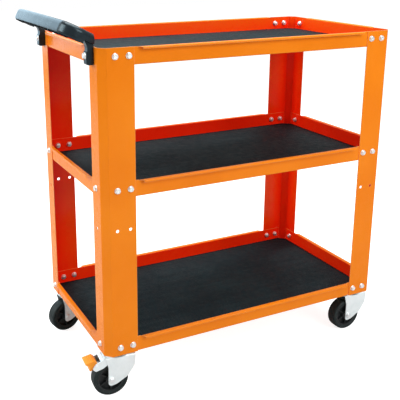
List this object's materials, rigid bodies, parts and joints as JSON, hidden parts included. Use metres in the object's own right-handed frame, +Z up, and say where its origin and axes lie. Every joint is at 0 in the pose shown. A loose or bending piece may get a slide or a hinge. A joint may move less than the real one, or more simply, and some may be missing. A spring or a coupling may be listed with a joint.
{
  "type": "tool cart",
  "caption": "Shelved steel tool cart with folded-sheet posts and lipped trays, rubber mats, moulded pull handle and four swivel casters, two of them with toe brakes.",
  "frame": {"origin": "on the floor, under the middle of the whole cart's bounding box", "axes": "+Z up, +X along the trays away from the handle, +Y from the front long side to the rear long side"},
  "size_m": [0.9968, 0.501, 1.0192],
  "materials": {
    "orange_powder_coat": "gloss powder coat with a light orange peel",
    "black_mat_rubber": "matt, fine lengthwise ribs",
    "bright_zinc": "bright zinc plating",
    "caster_zinc": "blue zinc plating on pressed steel",
    "bearing_steel": "ground and greased",
    "handle_plastic": "satin to gloss moulding",
    "tyre_rubber": "matt solid rubber",
    "hub_plastic": "fine texture",
    "pedal_plastic": "satin moulding with grip ridges"
  },
  "bodies": {
    "frame": {"front_left_post": "orange_powder_coat", "front_right_post": "orange_powder_coat", "rear_left_post": "orange_powder_coat", "rear_right_post": "orange_powder_coat", "top_tray": "orange_powder_coat", "top_mat": "black_mat_rubber", "top_tray_bolts": "bright_zinc", "top_tray_nuts": "bright_zinc", "middle_tray": "orange_powder_coat", "middle_mat": "black_mat_rubber", "middle_tray_bolts": "bright_zinc", "middle_tray_nuts": "bright_zinc", "bottom_tray": "orange_powder_coat", "bottom_mat": "black_mat_rubber", "bottom_tray_bolts": "bright_zinc", "bottom_tray_nuts": "bright_zinc", "pull_handle": "handle_plastic", "handle_bolts": "bright_zinc", "caster_bolts": "bright_zinc", "caster_nuts": "bright_zinc", "kingpins": "caster_zinc", "swivel_balls": "bearing_steel", "front_left_caster_plate": "caster_zinc", "front_right_caster_plate": "caster_zinc", "rear_left_caster_plate": "caster_zinc", "rear_right_caster_plate": "caster_zinc"},
    "front_left_swivel": {"front_left_fork": "caster_zinc", "front_left_axle_bolt": "bright_zinc", "front_left_axle_nut": "bright_zinc", "front_left_axle_sleeve": "bearing_steel", "front_left_brake_bracket": "caster_zinc", "front_left_brake_pin": "caster_zinc"},
    "front_left_wheel": {"front_left_tyre": "tyre_rubber", "front_left_hub": "hub_plastic"},
    "front_left_brake": {"front_left_brake_pedal": "pedal_plastic", "front_left_brake_shoe": "caster_zinc"},
    "front_right_swivel": {"front_right_fork": "caster_zinc", "front_right_axle_bolt": "bright_zinc", "front_right_axle_nut": "bright_zinc", "front_right_axle_sleeve": "bearing_steel"},
    "front_right_wheel": {"front_right_tyre": "tyre_rubber", "front_right_hub": "hub_plastic"},
    "rear_left_swivel": {"rear_left_fork": "caster_zinc", "rear_left_axle_bolt": "bright_zinc", "rear_left_axle_nut": "bright_zinc", "rear_left_axle_sleeve": "bearing_steel"},
    "rear_left_wheel": {"rear_left_tyre": "tyre_rubber", "rear_left_hub": "hub_plastic"},
    "rear_right_swivel": {"rear_right_fork": "caster_zinc", "rear_right_axle_bolt": "bright_zinc", "rear_right_axle_nut": "bright_zinc", "rear_right_axle_sleeve": "bearing_steel", "rear_right_brake_bracket": "caster_zinc", "rear_right_brake_pin": "caster_zinc"},
    "rear_right_wheel": {"rear_right_tyre": "tyre_rubber", "rear_right_hub": "hub_plastic"},
    "rear_right_brake": {"rear_right_brake_pedal": "pedal_plastic", "rear_right_brake_shoe": "caster_zinc"}
  },
  "joints": [
    {"name": "front_left_swivel_turn", "type": "hinge", "parent": "frame", "child": "front_left_swivel", "pos_m": [-0.36609, -0.196, 0.118], "axis": [0, 0, 1], "continuous": true},
    {"name": "front_left_wheel_spin", "type": "hinge", "parent": "front_left_swivel", "child": "front_left_wheel", "pos_m": [-0.38801, -0.19408, 0.05], "axis": [0.0872, 0.9962, 0], "continuous": true},
    {"name": "front_left_brake_press", "type": "hinge", "parent": "front_left_swivel", "child": "front_left_brake", "pos_m": [-0.42885, -0.19051, 0.098], "axis": [0.0872, 0.9962, 0], "range_deg": [-25, 0]},
    {"name": "front_right_swivel_turn", "type": "hinge", "parent": "frame", "child": "front_right_swivel", "pos_m": [0.44191, -0.196, 0.118], "axis": [0, 0, 1], "continuous": true},
    {"name": "front_right_wheel_spin", "type": "hinge", "parent": "front_right_swivel", "child": "front_right_wheel", "pos_m": [0.41991, -0.196, 0.05], "axis": [0, 1, 0], "continuous": true},
    {"name": "rear_left_swivel_turn", "type": "hinge", "parent": "frame", "child": "rear_left_swivel", "pos_m": [-0.36609, 0.196, 0.118], "axis": [0, 0, 1], "continuous": true},
    {"name": "rear_left_wheel_spin", "type": "hinge", "parent": "rear_left_swivel", "child": "rear_left_wheel", "pos_m": [-0.38776, 0.19218, 0.05], "axis": [-0.1736, 0.9848, 0], "continuous": true},
    {"name": "rear_right_swivel_turn", "type": "hinge", "parent": "frame", "child": "rear_right_swivel", "pos_m": [0.44191, 0.196, 0.118], "axis": [0, 0, 1], "continuous": true},
    {"name": "rear_right_wheel_spin", "type": "hinge", "parent": "rear_right_swivel", "child": "rear_right_wheel", "pos_m": [0.41991, 0.196, 0.05], "axis": [0, 1, 0], "continuous": true},
    {"name": "rear_right_brake_press", "type": "hinge", "parent": "rear_right_swivel", "child": "rear_right_brake", "pos_m": [0.37891, 0.196, 0.098], "axis": [0, 1, 0], "range_deg": [-25, 0]}
  ]
}
